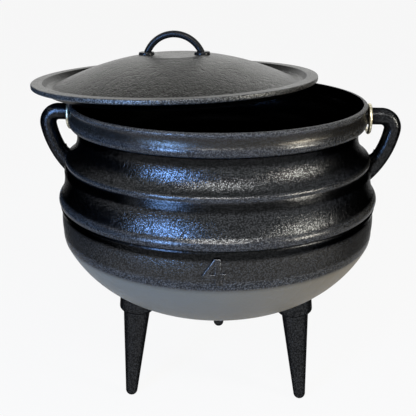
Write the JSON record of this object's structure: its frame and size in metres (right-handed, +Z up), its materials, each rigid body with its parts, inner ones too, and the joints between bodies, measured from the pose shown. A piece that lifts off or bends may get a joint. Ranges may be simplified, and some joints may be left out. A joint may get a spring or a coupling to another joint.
{
  "type": "potjie pot",
  "caption": "Round-bellied cast iron cooking pot on short legs, with a domed lid lying ajar, bent side ears and a thin wire bail standing level behind.",
  "frame": {"origin": "on the pot's own axis, on the ground plane that the three round feet stand on", "axes": "+Z up along the pot's axis; +X through the two ears; +Y to the back, where the bail lies and the rear leg stands"},
  "size_m": [0.3454, 0.3225, 0.3398],
  "materials": {
    "pot_iron": "black coated cast iron, satin to glossy, with a fine sand-cast texture",
    "lid_iron": "black coated cast iron, satin, fine even grain",
    "bail_wire": "round drawn steel wire with a slightly yellow zinc coat"
  },
  "bodies": {
    "pot": {"pot_body": "pot_iron", "lid": "lid_iron"},
    "bail": {"bail_handle": "bail_wire"}
  },
  "joints": [
    {"name": "bail_swing", "type": "hinge", "parent": "pot", "child": "bail", "pos_m": [0, 0, 0.2673], "axis": [1, 0, 0], "range_deg": [-24, 5]}
  ]
}
